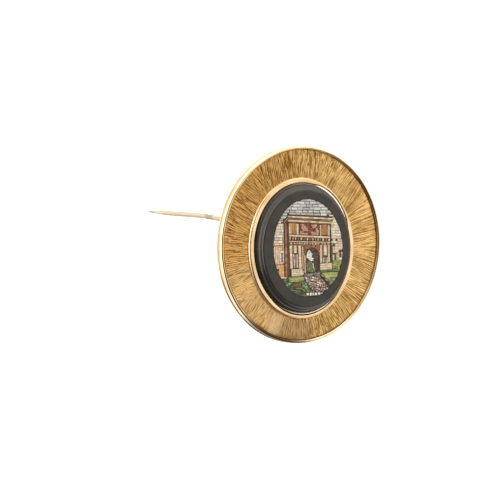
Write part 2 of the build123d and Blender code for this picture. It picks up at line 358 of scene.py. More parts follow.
def brushed_gold():
    """Strokes that run outwards, some of them crossing, with painted shade in the corner by the bezel
    and along the rim at the foot, painted shade and light round the band, and paler over a patch at the
    foot."""
    finish = Finish("brushed gold")
    right, up, inward = finish.parts(finish.mark("stroke", "Vector"))
    to_the_left = finish.rise(right, 2.0, -6.0)
    to_the_right = finish.rise(right, 3.0, 11.0)
    lower_left = finish.rise(up, -1.0, -10.0) * finish.rise(right, 1.0, -7.0)

    # Strokes, longer at the right, with slanting ones and a fine hatching that comes and goes
    shortness = 0.5 - finish.rise(right, 5.0, 12.0) * 0.28
    outwards = finish.point(right, up, inward * shortness)
    slanting = finish.point(right + inward * 3.2, up - inward * 3.2, inward * 0.8)
    fine = finish.noise(outwards, 7.0, 2, 0.6)
    deep = finish.noise(outwards, 1.6, 3, 0.75)
    crossing = finish.noise(slanting, 4.4, 2, 0.6)
    waver = finish.noise(outwards, 0.9, 2, 0.6)
    turns = finish.mark("along") * (2 * pi / hatch_pitch) + waver * 14.0
    hatch = turns.maths("SINE", turns) * finish.rise(deep, 0.42, 0.62)
    marks = fine * 0.66 + crossing * 0.12 + deep * 0.22 + hatch * 0.12

    # Tones: painted shade, browner at the top and darker at the left, redder patches at the left,
    # painted light, paler at the lower left, and painted shade, more even and darker at the right
    broad = finish.noise(finish.place(), 0.5, 5, 0.7)
    streaks = finish.rise(marks * 0.76 + broad * 0.24 + lower_left * 0.02, 0.42, 0.575)
    colour = finish.blend(streaks, tone(140, 90, 30), tone(254, 214, 144))
    # Painted shade: browner towards the top
    colour = finish.blend(finish.rise(up, 2.0, 13.0) * 0.08, colour, tone(120, 78, 26))
    warm = finish.rise(broad, 0.4, 0.66) * finish.rise(right, 6.0, -9.0)
    # Painted light: the tint is paler at the lower left
    warm_tint = finish.blend(lower_left, tone(214, 190, 150), tone(232, 214, 186))
    # Redder patches at the left, and painted shade over the left side
    colour = finish.blend(warm * 0.5 + 0.35 * to_the_left, colour, warm_tint, "MULTIPLY")
    # Painted shade: the right more even and darker
    colour = finish.blend(to_the_right * 0.2, colour, tone(206, 164, 104))
    # Painted light: paler at the lower left
    colour = finish.blend(lower_left * 0.2, colour, tone(250, 224, 176))

    # Painted shade in the corner by the bezel at the left, and along the rim at the foot
    corner = finish.rise(inward, 0.84, 0.95) * finish.rise(right * -1.0 - up * 0.6, 0.0, 9.0)
    colour = finish.blend(corner * 0.8, colour, tone(128, 64, 18))
    foot = finish.rise(inward, 0.2, 0.02) * finish.rise(up, -12.5, -15.5) * finish.rise(right, 2.0, -2.0)
    colour = finish.blend(foot * 0.8, colour, tone(110, 80, 44))

    # A paler patch at the foot, pale at its left and greyer at its right
    rubbed = finish.rise(right, -6.6, -5.4) * finish.rise(right, 4.2, 2.2)
    rubbed = rubbed * finish.rise(up, -12.0, -14.5) * finish.rise(inward, 0.95, 0.7)
    rubbed = rubbed * finish.rise(deep, 0.2, 0.45)
    patch_side = finish.rise(right + crossing, -4.2, -2.6)
    patch = finish.blend(patch_side, tone(244, 216, 172), tone(168, 138, 106))
    colour = finish.blend(rubbed * 0.55, colour, patch)

    finish.surface(Base_Color=colour, Metallic=1.0, Roughness=rubbed * 0.1 + crossing * 0.2 + 0.2,
                   Normal=finish.bump(marks, 1.0, 0.065))
    return finish.material


def glare_white_gold():
    """The lip: gold coloured almost white, a painted highlight for the white glare along it."""
    finish = Finish("glare white gold")
    wear = finish.noise(finish.place(), 4.0, 3, 0.6)
    # Painted highlight: the lip's gold made almost white
    colour = finish.blend(wear, tone(255, 250, 238), tone(250, 234, 208))
    finish.surface(Base_Color=colour, Metallic=1.0, Roughness=wear * 0.2 + 0.14)
    return finish.material


def wire_gold():
    """Pale wire, greyed at its tip and over a stretch about ten millimetres from it."""
    finish = Finish("pale gold wire")
    place = finish.place()
    wear = finish.noise(place, 3.0, 4, 0.7)
    # The pin's tip is the model's left end
    from_tip = finish.parts(place)[0] - cad_box[0][0] / MM
    stretch = finish.rise(from_tip, 9.1, 9.7) * finish.rise(from_tip, 10.9, 10.3)
    grey = finish.rise(from_tip, 1.4, 0.5) + stretch * 0.6
    colour = finish.blend(wear, tone(176, 162, 138), tone(206, 194, 174))
    colour = finish.blend(grey * 0.8, colour, tone(120, 112, 100))
    finish.surface(Base_Color=colour, Metallic=1.0, Roughness=wear * 0.2 + 0.45,
                   Normal=finish.bump(wear, 0.2, 0.02))
    return finish.material


def black_onyx():
    """Nearly black stone, polished and slightly hazy."""
    finish = Finish("black onyx")
    place = finish.place()
    cloud = finish.noise(place, 0.5, 3)
    haze = finish.noise(place, 7.0, 3)
    colour = finish.blend(finish.rise(cloud, 0.35, 0.65), tone(38, 36, 38), tone(54, 46, 38))
    finish.surface(Base_Color=colour, Roughness=haze * 0.14 + 0.08, IOR=1.5,
                   Normal=finish.bump(cloud, 0.15, 0.05))
    return finish.material


def dark_cement():
    """The grainy brown cement between the stones."""
    finish = Finish("dark cement")
    grain = finish.noise(finish.place(), 12.0, 4, 0.7)
    colour = finish.blend(grain, tone(62, 48, 38), tone(104, 86, 70))
    finish.surface(Base_Color=colour, Roughness=0.85, Normal=finish.bump(grain, 0.6, 0.03))
    return finish.material


def ground_glass():
    """Opaque glass stones, ground flat, each in its own colour."""
    finish = Finish("ground glass")
    own = finish.mark("stone_colour", "Color")
    grain = finish.noise(finish.place(), 9.0, 4, 0.7)
    colour = finish.blend(finish.ramp(grain, (0.35, 0), (0.8, 0.24)), own, tone(96, 80, 66))
    finish.surface(Base_Color=colour, Roughness=grain * 0.3 + 0.3,
                   Normal=finish.bump(grain, 0.25, 0.03))
    return finish.material


POLISHED = polished_gold()
BRUSHED = brushed_gold()
GLARE_WHITE = glare_white_gold()
WIRE = wire_gold()
ONYX = black_onyx()
CEMENT = dark_cement()
GLASS = ground_glass()


# Modelling

# One ellipse of a skin: its half width, half height, height, middle and turn
Loop = namedtuple("Loop", "width height level right up turn", defaults=(0, 0, 0))


def pick(piece):
    """Selects one piece and nothing else."""
    for thing in bpy.context.selected_objects:
        thing.select_set(False)
    piece.select_set(True)
    bpy.context.view_layer.objects.active = piece


def finished(piece, name, placement, material, body, slot, smooth=35):
    """Names a piece, lays it down, and gives it its finish and its body; its slot is not used."""
    piece.name = piece.data.name = name
    piece.data.transform(placement @ piece.matrix_world)
    piece.matrix_world = Matrix.Identity(4)
    piece.data.materials.clear()
    piece.data.materials.append(material)
    pick(piece)
    bpy.ops.object.shade_smooth_by_angle(angle=radians(smooth))
    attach(piece, body)
    return piece


def ellipse_loops(loops, around, closed=False):
    """Nested ellipses joined into one skin: each one is extruded from the last and brought to
    its place. A closed skin runs back into its first ellipse, and the others are capped."""
    fill = "NOTHING" if closed else "NGON"
    bpy.ops.mesh.primitive_circle_add(vertices=around, radius=1, fill_type=fill)
    piece = bpy.context.object
    pick(piece)
    bpy.ops.object.mode_set(mode="EDIT")
    bpy.ops.mesh.select_all(action="SELECT")
    last = Loop(1, 1, 0)
    for place, loop in enumerate(loops):
        if place and closed:
            bpy.ops.mesh.extrude_edges_move()
        elif place:
            bpy.ops.mesh.extrude_region_move()
        turned = loop.turn != last.turn
        if turned:
            turn_back(last.turn, last)
        step = (loop.right - last.right, loop.up - last.up, loop.level - last.level)
        bpy.ops.transform.translate(value=step)
        bpy.ops.transform.resize(value=(loop.width / last.width, loop.height / last.height, 1),
                                 center_override=(loop.right, loop.up, loop.level))
        if turned:
            turn_back(-loop.turn, loop)
        last = loop
    bpy.ops.mesh.select_all(action="SELECT")
    if closed:
        bpy.ops.mesh.remove_doubles(threshold=1e-5)
    bpy.ops.mesh.normals_make_consistent(inside=False)
    bpy.ops.object.mode_set(mode="OBJECT")
    return piece


def turn_back(angle, loop):
    """Turns the selected ellipse clockwise about its middle."""
    bpy.ops.transform.rotate(value=angle, orient_axis="Z", center_override=(loop.right, loop.up, 0))


def inset_loops(half_width, half_height, section):
    """An ellipse for each point (inset, height) of a section round an oval."""
    return [Loop(half_width - inset, half_height - inset, level) for inset, level in section]


def arc_points(middle_in, middle_up, radius, start, end, steps):
    """Points (inset, height) on an arc; 0 degrees points inwards and 90 up."""
    angles = [radians(start + (end - start) * step / steps) for step in range(steps + 1)]
    return [(middle_in + radius * cos(angle), middle_up + radius * sin(angle)) for angle in angles]


def bearing(x, y):
    """A direction in degrees, from the right round to the top."""
    return atan2(y, x) * 180 / pi


def carve(piece, cutter):
    """Takes one closed shape out of another."""
    cut = piece.modifiers.new("cut", "BOOLEAN")
    cut.object = cutter
    cut.operation = "DIFFERENCE"
    cut.solver = "EXACT"
    pick(piece)
    bpy.ops.object.modifier_apply(modifier=cut.name)
    bpy.data.objects.remove(cutter)
    return piece


def write_marks(piece, name, kind, field, values):
    """Writes a mark for every point of a piece, which its finish reads."""
    marks = piece.data.attributes.new(name, kind, "POINT")
    marks.data.foreach_set(field, values.ravel())


# Gold mount

def rim_section():
    """The rim's half-round section, from its inner edge over its crest to its outer edge."""
    section = []
    for inset, level in arc_points(0, 0, 1, start=0, end=180, steps=30):
        reach = rim_width - rim_crest if inset > 0 else rim_crest - rim_inset
        section.append((rim_crest + reach * inset, rim_rise * level))
    return section


def gold_body():
    """The half-round rim, the side with the bead round its foot, the back, and the onyx's seat."""
    section = [(rim_width + well_width, well_floor), (rim_width + well_edge, band_back)]
    section += rim_section()
    section += arc_points(wall_setback, rim_foot, wall_setback, start=180, end=262, steps=6)
    section += [(wall_setback, level) for level in wall_rings]
    bead_middle = bead_radius - frame_depth
    section += arc_points(bead_radius, bead_middle, bead_radius, start=118, end=270, steps=14)
    loops = inset_loops(frame_half_width, frame_half_height, section)
    body = ellipse_loops(loops, around=400)
    loops = inset_loops(bezel_half_width, bezel_half_height, [(0, -seat_depth), (0, bezel_rise)])
    seat = ellipse_loops(loops, around=256)
    seat.data.transform(FRAME.inverted() @ PLAQUE)
    carve(body, seat)
    tarnish(body)
    return finished(body, "gold_body", FRAME, POLISHED, "brooch", "gold")


def tarnish(body):
    """Marks where brown shade is painted on the gold: the side, the crease inside the rim and the rim's
    foot.
    """
    shading = np.zeros(len(body.data.vertices), np.float32)
    # The crease begins three quarters of the way in over the rim
    crease_edge = frame_half_width - rim_width * 0.75
    for vertex in body.data.vertices:
        across, along = vertex.co.x / frame_half_width, vertex.co.y / frame_half_height
        from_foot = abs(bearing(across, along) - foot_shade_at)
        # Painted shade, darkest at the rim's foot, on the side and in the crease inside the rim
        foot = 1 - (from_foot / foot_shade_spread) ** 3
        side = side_shade if vertex.co.z < rim_foot / 2 else 0.0
        crease = 0.0
        if hypot(across, along) * frame_half_width < crease_edge:
            crease = max(crease_shade_all_round, deepest_crease_shade - (from_foot / crease_shade_spread) ** 4)
        shading[vertex.index] = max(foot, side, crease)
    write_marks(body, "tarnish", "FLOAT", "value", shading)


def brush_strokes(band):
    """Presses fine strokes that run outwards into the band, and marks where each one runs."""
    strokes = np.zeros((len(band.data.vertices), 3), np.float32)
    along = np.zeros(len(band.data.vertices), np.float32)
    stations = 720
    turns = np.linspace(-pi, pi, stations + 1)
    lengths = np.hypot(frame_half_width * np.sin(turns), frame_half_height * np.cos(turns))
    lengths = np.cumsum(lengths * (2 * pi / stations))
    lengths *= round(lengths[-1] / hatch_pitch) * hatch_pitch / lengths[-1]
    for vertex in band.data.vertices:
        inward = min(vertex.index // band_around, band_rows) / band_rows
        right, up = vertex.co.x - bezel_right * inward, vertex.co.y + bezel_down * inward
        turn = atan2(up / frame_half_height, right / frame_half_width)
        # Strokes lean a little to one side or the other, a few millimetres at a time
        edge = Vector((frame_half_width * cos(turn), frame_half_height * sin(turn), 0))
        lean = 0.5 * noise.noise(edge * 0.25 + Vector((0, 0, 7)))
        turn += lean * (inward - 0.5) * 0.35
        x, y = frame_half_width * cos(turn), frame_half_height * sin(turn)
        strokes[vertex.index] = (x, y, inward)
        along[vertex.index] = np.interp(turn, turns, lengths)
        if vertex.co.z > band_back / 2:
            fine = noise.noise(Vector((x * 4.6, y * 4.6, inward * 1.4)))
            cross = noise.noise(Vector((x * 5 + inward * 9, y * 5 - inward * 9, inward * 2 + 5)))
            dents = noise.noise(Vector((vertex.co.x * 0.9, vertex.co.y * 0.9, 3)))
            relief = stroke_depth * fine + crossing_depth * cross + dent_depth * dents
            vertex.co.z += relief - brushed_away
            vertex.co.z -= band_fall * (1 - inward) ** 2
    write_marks(band, "stroke", "FLOAT_VECTOR", "vector", strokes)
    write_marks(band, "along", "FLOAT", "value", along)


def gold_band():
    """The broad brushed face between the rim and the bezel."""
    inner = Loop(bezel_half_width + bezel_wall, bezel_half_height + bezel_wall, band_back,
                 bezel_right, -bezel_down, bezel_turn)
    outer = Loop(frame_half_width - rim_width + band_tuck, frame_half_height - rim_width + band_tuck,
                 band_back, 0, 0, frame_turn)
    loops = []
    for row in range(band_rows + 1):
        share = row / band_rows
        between = Loop(*[start + (end - start) * share for start, end in zip(outer, inner)])
        loops.append(between._replace(level=0))
    loops += [inner, outer, loops[0]]
    band = ellipse_loops(loops, around=band_around, closed=True)
    brush_strokes(band)
    return finished(band, "gold_band", PLATE, BRUSHED, "brooch", "gold", smooth=180)


def proud(spot):
    """How far the lip stands off the collar, from 0 to 1: below the onyx and to its upper right."""
    clock = bearing(spot.x / bezel_half_width, spot.y / bezel_half_height)
    below = 1 - abs((clock - lip_below_at) / lip_below_spread) ** 3
    beside = 1 - abs((clock - lip_beside_at) / lip_beside_spread) ** 3
    return max(below, 0), max(beside, 0)


def within_oval(spot, half_width, half_height):
    """Whether a point lies inside an oval, seen from the front."""
    return hypot(spot.x / half_width, spot.y / half_height) < 1


def push_out(vertex, distance):
    """Moves a point of the collar or the lip outwards."""
    vertex.co.x *= 1 + distance / bezel_half_width
    vertex.co.y *= 1 + distance / bezel_half_height


def gold_bezel():
    """The upright collar round the onyx, burnished over at its lip, with a low ledge at its foot."""
    inner = ledge_width + bezel_wall
    # The ledge: a small step at its foot, a steep slope and a top that rises a little inwards
    section = [(0.0, collar_root), (0.0, 0.0), (0.02, 0.04), (0.035, 0.062), (0.115, ledge_rise - 0.075),
               (0.13, ledge_rise - 0.06), (collar_setback - 0.02, ledge_rise - 0.045),
               (collar_setback, ledge_rise - 0.04)]
    # The collar: its rounded shoulder, its flat top and its rounded inner edge
    shoulder_at = collar_setback + collar_shoulder
    round_at = inner - collar_round
    section += arc_points(shoulder_at, bezel_rise - collar_shoulder, collar_shoulder, 172, 90, 6)
    section += [(shoulder_at + 0.02, bezel_rise), (round_at - 0.02, bezel_rise)]
    section += arc_points(round_at, bezel_rise - collar_round, collar_round, 88, 0, 7)
    section += [(inner, collar_root), (0.0, collar_root)]
    loops = inset_loops(bezel_half_width + inner, bezel_half_height + inner, section)
    bezel = ellipse_loops(loops, around=360, closed=True)
    # The inner part of the collar draws back from the onyx where the lip stands off
    inner_part = bezel_wall * 0.6
    for vertex in bezel.data.vertices:
        if within_oval(vertex.co, bezel_half_width + inner_part, bezel_half_height + inner_part):
            below, beside = proud(vertex.co)
            push_out(vertex, lip_gap_below * below + lip_gap_beside * beside)
    return finished(bezel, "gold_bezel", PLAQUE, POLISHED, "brooch", "gold")


def burnished_lip():
    """The thin edge of gold rubbed down on the onyx, proud only where the burnisher dwelt."""
    outer_side = lip_radius * 0.3
    tube = arc_points(lip_overlap, 0.0, lip_radius, start=0, end=360, steps=10)
    loops = inset_loops(bezel_half_width, bezel_half_height, tube)
    lip = ellipse_loops(loops, around=360, closed=True)
    for vertex in lip.data.vertices:
        below, beside = proud(vertex.co)
        if not within_oval(vertex.co, bezel_half_width + outer_side, bezel_half_height + outer_side):
            push_out(vertex, lip_spread * beside)
        vertex.co.z += lip_height * max(below, beside)
    return finished(lip, "burnished_lip", PLAQUE, GLARE_WHITE, "brooch", "gold", smooth=180)


def hinge_and_catch():
    """The ears, the stop bar and the catch on the back, cut off the mount just behind its back
    face and let a little way into the new back."""
    piece = frame["nodes"]["gold_mount"].copy()
    piece.data = piece.data.copy()
    bpy.context.scene.collection.objects.link(piece)
    # The copy stands by itself and shows
    piece.parent = None
    for key in list(piece.keys()):
        del piece[key]
    piece.hide_render = False
    piece.hide_viewport = False
    piece.hide_set(False)
    piece.data.transform(PLATE.inverted())
    pick(piece)
    cut_depth, let_in = 0.02, 0.15
    bpy.ops.object.mode_set(mode="EDIT")
    bpy.ops.mesh.select_all(action="SELECT")
    bpy.ops.mesh.remove_doubles(threshold=1e-4)
    bpy.ops.mesh.bisect(plane_co=(0, 0, -frame_depth - cut_depth), plane_no=(0, 0, 1), use_fill=True,
                        clear_outer=True)
    bpy.ops.transform.translate(value=(0, 0, let_in))
    bpy.ops.object.mode_set(mode="OBJECT")
    return finished(piece, "hinge_and_catch", PLATE, POLISHED, "brooch", "gold", smooth=30)


def pin_and_rivet():
    """These keep their own shapes and only get their finish."""
    for name in ("pin_stem", "hinge_rivet"):
        materials = frame["nodes"][name].data.materials
        materials.clear()
        materials.append(WIRE)


# Onyx and cement

def onyx_stone():
    """The black plaque: girdle, full rounded slope and a flat table with the mosaic's hollow."""
    wide, high = bezel_half_width - onyx_clearance, bezel_half_height - onyx_clearance
    across, along = wide - table_half_width, high - table_half_height
    tall = table_height - bezel_rise
    # The slope as shares of the way in to the table's edge and up to its top
    slope = [(0.0, 0.0), (0.05, 0.15), (0.13, 0.33), (0.25, 0.51), (0.4, 0.63), (0.52, 0.72),
             (0.62, 0.765), (0.74, 0.815), (0.86, 0.88), (0.95, 0.945), (1.0, 0.985), (1.06, 1.0),
             (1.3, 1.0)]
    loops = inset_loops(wide, high, [(0, onyx_clearance - seat_depth), (0, girdle_top)])
    loops += [Loop(wide - across * share, high - along * share, bezel_rise + tall * rise)
              for share, rise in slope]
    stone = ellipse_loops(loops, around=360)
    loops = inset_loops(mosaic_half_width, mosaic_half_height, [(0, tray_floor), (0, table_height + 1)])
    hollow = ellipse_loops(loops, around=160)
    hollow_turn = Matrix.Rotation(mosaic_turn, 4, "Z")
    hollow.data.transform(Matrix.Translation((mosaic_right, mosaic_up, 0)) @ hollow_turn)
    return finished(carve(stone, hollow), "onyx_stone", PLAQUE, ONYX, "brooch", "onyx")


def cement_bed():
    """The cement in the hollow, up to just below the tops of the stones."""
    wide, high = mosaic_half_width - cement_gap, mosaic_half_height - cement_gap
    section = [(0, tray_floor + cement_gap), (0, cement_top - cement_drop), (cement_round, cement_top)]
    loops = inset_loops(wide, high, section)
    loops.append(Loop(wide * 0.5, high * 0.5, cement_top))
    bed = ellipse_loops(loops, around=160)
    bed.data.transform(Matrix.Rotation(mosaic_turn, 4, "Z"))
    return finished(bed, "cement_bed", PICTURE, CEMENT, "brooch", "cement")


# Tesserae

# What each kind of glass looks like from above, as screen colours
COLOURS = {
    "sky": [(226, 226, 230), (216, 216, 222), (236, 234, 230), (222, 226, 222), (228, 224, 228),
            (208, 208, 214)],
    "haze": [(254, 240, 222), (242, 226, 210), (254, 248, 232), (234, 220, 204), (252, 226, 204)],
    "cream": [(255, 238, 208), (254, 230, 196), (252, 224, 186)],
    "ochre": [(204, 148, 90), (192, 134, 76), (210, 158, 102)],
    "rust": [(202, 140, 98), (190, 124, 82), (212, 152, 112)],
    "red": [(142, 78, 56), (124, 66, 50), (158, 92, 68), (112, 56, 42)],
    "blot": [(214, 168, 146), (198, 150, 130), (226, 188, 166)],
    "blush": [(255, 226, 204), (250, 212, 188), (255, 238, 220)],
    "maroon": [(104, 64, 60), (88, 52, 50), (116, 74, 68)],
    "brown": [(180, 130, 98), (160, 112, 86), (198, 146, 114)],
    "umber": [(92, 66, 48), (78, 54, 40), (106, 78, 58)],
    "pink": [(242, 204, 186), (228, 186, 170), (250, 216, 200)],
    "mauve": [(160, 132, 148), (146, 118, 132), (178, 150, 160)],
    "dark": [(44, 34, 30), (34, 26, 24)],
    "vault": [(102, 84, 70), (90, 72, 64), (120, 98, 84), (78, 62, 56)],
    "orange": [(252, 196, 144), (240, 176, 120), (254, 212, 168)],
    "tan": [(238, 206, 170), (224, 190, 154), (246, 218, 184)],
    "lawn": [(218, 222, 142), (224, 228, 156), (206, 212, 128)],
    "leaf": [(112, 134, 78), (92, 116, 68), (132, 152, 90)],
    "bush": [(144, 156, 104), (120, 138, 90), (164, 170, 116)],
    "moss": [(192, 196, 116), (172, 180, 100), (208, 210, 130)],
    "teal": [(150, 196, 142), (128, 172, 118), (184, 216, 166), (94, 134, 94)],
    "slate": [(84, 92, 82), (66, 76, 68), (100, 108, 92)],
    "olive": [(104, 104, 74), (88, 88, 64), (120, 118, 82)],
    "sage": [(160, 170, 130), (144, 154, 120), (178, 184, 148)],
    "pale_olive": [(190, 190, 128), (172, 174, 114)],
    "clay": [(170, 124, 90), (150, 104, 74)],
    "cobble": [(242, 222, 208), (222, 200, 184), (254, 238, 222), (206, 180, 166), (176, 150, 140)],
    "grey": [(164, 162, 154), (148, 146, 140), (180, 176, 166)],
    "white": [(254, 254, 248), (254, 250, 236)],
}

# The picture is laid out in millimetres from its middle, x to the right and y up, and what
# stands in front comes first. These are the arch's opening and the rounds over it.
arch_middle = 0.75
arch_spring = -1.15
arch_foot = -3.95
vault_radius = 1.05
ring_radius = 1.3
outer_ring_radius = 1.5

# Straight strips: group, colours, stone length, x and y of both ends, width
STRIPS = [
    ("arch", ["pink"], 0.5, -0.6, -0.55, -0.55, -4.0, 0.25),
    ("shade", ["maroon"], 0.5, 1.95, -1.1, 2.0, -3.75, 0.25),
    ("arch", ["cream"], 0.6, -3.15, 0.5, -3.0, -3.3, 0.45),
    ("arch", ["cream"], 0.6, -1.55, 0.5, -1.4, -3.3, 0.45),
    ("arch", ["cream"], 0.6, 2.35, 0.5, 2.35, -2.45, 0.3),
    ("arch", ["cream"], 0.6, 3.75, 0.5, 3.8, -2.35, 0.3),
    ("arch", ["cream"], 0.5, -2.35, 0.5, -2.3, -0.75, 0.5),
    ("shade", ["maroon"], 0.45, -2.7, -0.8, -1.85, -0.85, 0.1),
    ("arch", ["blush"], 0.5, -2.6, -0.95, -2.5, -3.15, 0.2),
    ("shade", ["mauve"], 0.7, -2.3, -1.0, -2.25, -3.1, 0.25),
    ("arch", ["blush"], 0.5, -2.0, -0.95, -1.95, -3.15, 0.25),
    ("arch", ["blush"], 0.45, 3.1, 0.5, 3.15, -1.2, 0.55),
    ("shade", ["maroon"], 0.45, 2.7, -1.35, 3.65, -1.3, 0.15),
    ("arch", ["blush"], 0.45, 2.85, -1.5, 2.85, -2.45, 0.2),
    ("shade", ["mauve"], 0.45, 3.15, -1.5, 3.15, -2.45, 0.25),
    ("arch", ["blush"], 0.45, 3.45, -1.5, 3.45, -2.45, 0.2),
    ("arch", ["tan"], 0.55, -1.0, 0.25, -0.95, -3.5, 0.2),
    ("shade", ["umber"], 0.75, -3.75, 5.55, 4.25, 5.05, 0.15),
    ("arch", ["tan", "cream"], 0.65, -3.6, 5.25, 4.3, 4.75, 0.3),
    ("arch", ["brown"], 0.75, -3.55, 4.9, 4.25, 4.45, 0.15),
    ("arch", ["tan", "cream"], 0.65, -3.65, 4.6, 4.25, 4.1, 0.3),
    ("arch", ["brown"], 0.75, -3.5, 4.35, 4.2, 3.85, 0.1),
    ("arch", ["cream"], 0.5, -3.35, 4.15, -3.3, 2.35, 0.25),
    ("arch", ["cream"], 0.5, -1.9, 4.05, -1.85, 2.25, 0.35),
    ("arch", ["cream"], 0.5, 2.25, 3.8, 2.3, 2.0, 0.25),
    ("arch", ["cream"], 0.5, 3.8, 3.7, 3.8, 1.95, 0.25),
    ("shade", ["umber"], 0.5, 4.1, 3.9, 4.15, -2.35, 0.2),
    ("shade", ["umber"], 0.45, -1.6, 4.0, -1.6, 2.2, 0.15),
    ("shade", ["umber"], 0.45, 2.05, 3.8, 2.05, 2.0, 0.1),
    ("arch", ["cream"], 0.65, -3.45, 2.15, 4.25, 1.7, 0.3),
    ("arch", ["tan", "umber", "brown", "umber"], 0.25, -3.4, 1.7, 4.2, 1.3, 0.4),
    ("arch", ["tan"], 0.6, -3.45, 1.2, 4.2, 0.9, 0.2),
    ("arch", ["brown", "tan", "umber", "pink"], 0.25, -3.4, 0.85, 4.2, 0.65, 0.3),
    ("shade", ["umber"], 0.5, -3.5, 5.4, -4.55, 4.3, 0.2),
    ("house", ["tan"], 0.5, -3.55, 5.15, -4.35, 4.25, 0.15),
    ("shade", ["maroon"], 0.5, -3.55, 4.9, -4.05, 4.25, 0.2),
    ("shade", ["maroon"], 0.55, -3.7, 4.8, -3.6, -4.65, 0.35),
    ("shade", ["brown"], 0.55, -4.05, 4.45, -3.95, -4.65, 0.35),
    ("shade", ["umber"], 0.55, -4.35, 4.25, -4.25, -4.55, 0.2),
    ("house", ["orange"], 0.5, -4.55, 1.85, -4.45, -0.3, 0.2),
    ("house", ["blush", "white"], 0.45, -5.25, -0.55, -4.35, -0.5, 0.4),
    ("house", ["blush"], 0.8, -5.1, -0.75, -5.0, -2.2, 0.3),
    ("shade", ["mauve"], 0.75, -4.75, -0.85, -4.7, -2.1, 0.35),
    ("house", ["blush"], 0.8, -4.45, -0.75, -4.4, -2.2, 0.25),
    ("house", ["blush"], 0.45, -5.1, -2.35, -4.3, -2.3, 0.25),
    ("house", ["rust"], 0.55, -6.05, -2.65, -4.35, -2.55, 0.2),
    ("shade", ["dark"], 0.3, -5.6, -3.45, -5.3, -3.4, 0.25),
    ("house", ["cream"], 0.45, -5.05, -4.75, -3.85, -4.75, 0.25),
    ("shade", ["umber"], 0.55, -6.5, 0.45, -4.6, 0.5, 0.1),
    ("house", ["white"], 0.45, 4.25, 0.95, 5.3, 0.95, 0.35),
    ("shade", ["dark"], 0.3, 4.2, 1.3, 4.45, 1.25, 0.25),
    ("shade", ["dark"], 0.3, 4.6, 0.55, 4.9, 0.55, 0.2),
    ("garden", ["olive"], 0.5, 4.35, 0.45, 4.4, -2.45, 0.2),
    ("shade", ["vault"], 1.15, 4.9, -0.8, 4.95, -1.95, 0.35),
    ("shade", ["vault"], 1.15, 5.85, -0.4, 5.85, -1.5, 0.3),
    ("garden", ["leaf"], 0.6, 2.25, -3.8, 5.1, -3.65, 0.35),
    ("garden", ["umber", "dark"], 0.5, 2.15, -4.45, 4.0, -6.25, 0.35),
    ("garden", ["moss", "olive"], 0.5, 2.4, -4.4, 4.15, -6.05, 0.2),
    ("garden", ["leaf"], 0.55, -3.8, -4.65, -0.8, -4.6, 0.15),
    ("garden", ["leaf"], 0.45, -3.9, -5.55, -1.35, -5.45, 0.15),
    ("garden", ["pale_olive"], 0.45, -2.25, -6.5, -1.15, -6.6, 0.15),
    ("garden", ["pale_olive"], 0.45, -1.15, -6.65, -0.5, -7.0, 0.15),
    ("garden", ["pale_olive"], 0.45, -3.2, -6.75, -1.4, -7.05, 0.15),
    ("shade", ["dark"], 0.35, 0.8, -4.45, 1.15, -4.4, 0.15),
]

